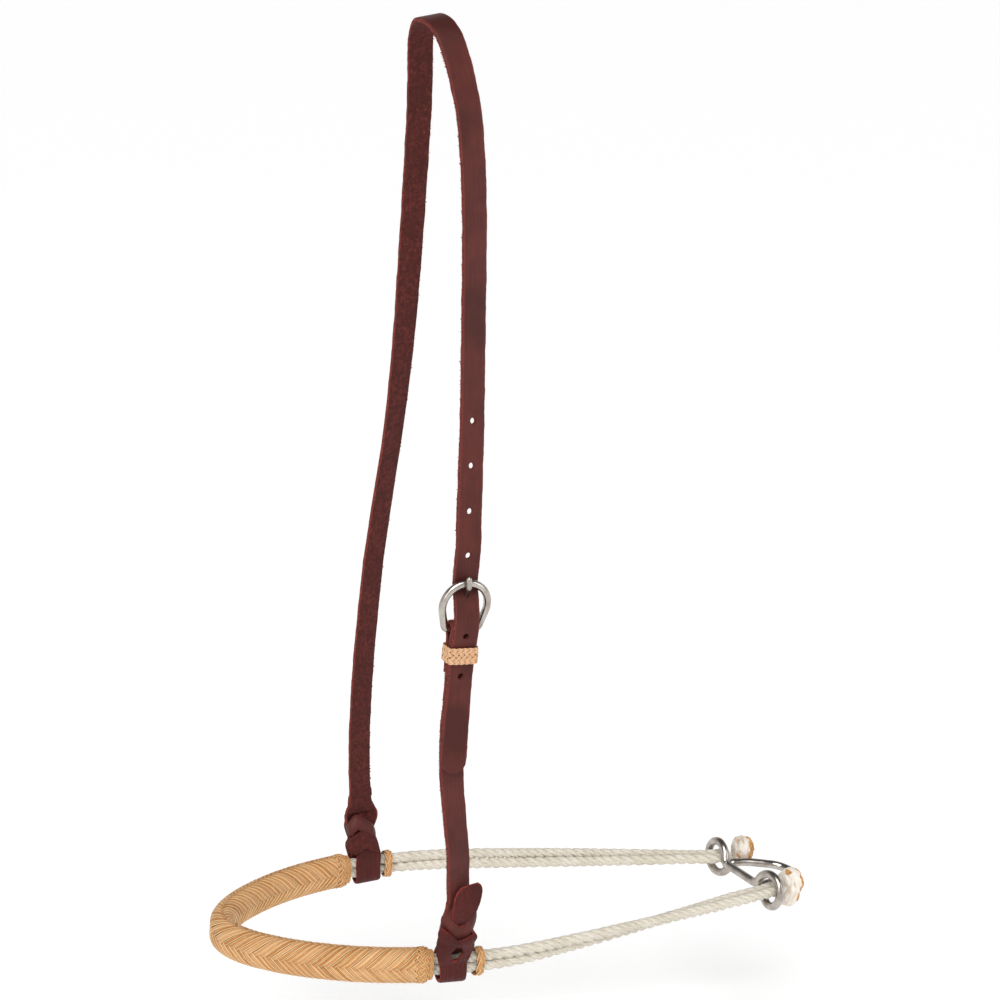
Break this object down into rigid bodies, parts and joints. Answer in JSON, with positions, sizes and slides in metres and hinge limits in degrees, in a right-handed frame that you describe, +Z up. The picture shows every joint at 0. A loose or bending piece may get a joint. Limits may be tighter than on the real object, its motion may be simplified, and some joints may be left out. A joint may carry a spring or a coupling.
{
  "type": "bitless hackamore with headstall",
  "caption": "Twisted rope noseband with a braided rawhide nose cover, hung from a latigo leather headstall with a cheek buckle, and closed by a bent wire tie-down ring.",
  "frame": {"origin": "under the middle of the crown strap, where it rests on the poll", "axes": "+Z is up, +X is to the rear, towards the tie-down ring, and -Y is the near side, which has the buckle"},
  "size_m": [0.4179, 0.178, 0.5956],
  "materials": {
    "strap_leather": "oiled latigo leather, smooth grain outside and rough flesh side inside, raw red-brown edges",
    "plait_leather": "oiled latigo leather, slit and plaited through itself",
    "rawhide": "tan rawhide strings, tightly braided, satin",
    "underwrap": "plain wrap under the braid, dull",
    "rope": "ivory twisted nylon rope, soft sheen",
    "rope_end": "opened rope ends knotted and melted, amber where burnt",
    "steel": "polished stainless steel wire",
    "thread": "waxed dark thread"
  },
  "bodies": {
    "headstall": {"crown_strap": "strap_leather", "near_cheek_strap": "strap_leather", "fold_stitching": "thread"},
    "buckle": {"buckle_frame": "steel"},
    "tongue": {"buckle_tongue": "steel"},
    "keeper": {"keeper": "rawhide"},
    "billet": {"billet_tail": "strap_leather"},
    "noseband": {"near_hanger_plait": "plait_leather", "near_hanger_tail": "plait_leather", "near_hanger_loop": "plait_leather", "far_hanger_plait": "plait_leather", "far_hanger_tail": "plait_leather", "far_hanger_loop": "plait_leather", "rope_upper": "rope", "rope_lower": "rope", "nose_underwrap": "underwrap", "nose_cover": "rawhide", "near_cover_knot": "rawhide", "far_cover_knot": "rawhide", "near_rawhide_ring": "rawhide", "far_rawhide_ring": "rawhide", "near_rope_knot": "rope_end", "far_rope_knot": "rope_end"},
    "tie_down": {"tie_down_ring": "steel"}
  },
  "joints": [
    {"name": "noseband_tilt", "type": "hinge", "parent": "headstall", "child": "noseband", "pos_m": [-0.021, 0, -0.497], "axis": [0, 1, 0], "range_deg": [-12, 12]},
    {"name": "ring_swing", "type": "hinge", "parent": "noseband", "child": "tie_down", "pos_m": [0.22586, 0.0012, -0.57651], "axis": [-0.1041, 0.9945, 0.0091], "range_deg": [-6, 8]},
    {"name": "buckle_turn", "type": "hinge", "parent": "headstall", "child": "buckle", "pos_m": [-0.0125, -0.069, -0.343], "axis": [0.9945, 0, -0.1045], "range_deg": [0, 2]},
    {"name": "tongue_lift", "type": "hinge", "parent": "buckle", "child": "tongue", "pos_m": [-0.0125, -0.069, -0.343], "axis": [0.9945, 0, -0.1045], "range_deg": [0, 2]},
    {"name": "keeper_slide", "type": "slide", "parent": "headstall", "child": "keeper", "axis": [-0.1045, 0, -0.9945], "range_m": [0, 0.016]},
    {"name": "billet_flex", "type": "hinge", "parent": "headstall", "child": "billet", "pos_m": [-0.01668, -0.0736, -0.38278], "axis": [-0.9945, 0, 0.1045], "range_deg": [0, 35]}
  ]
}
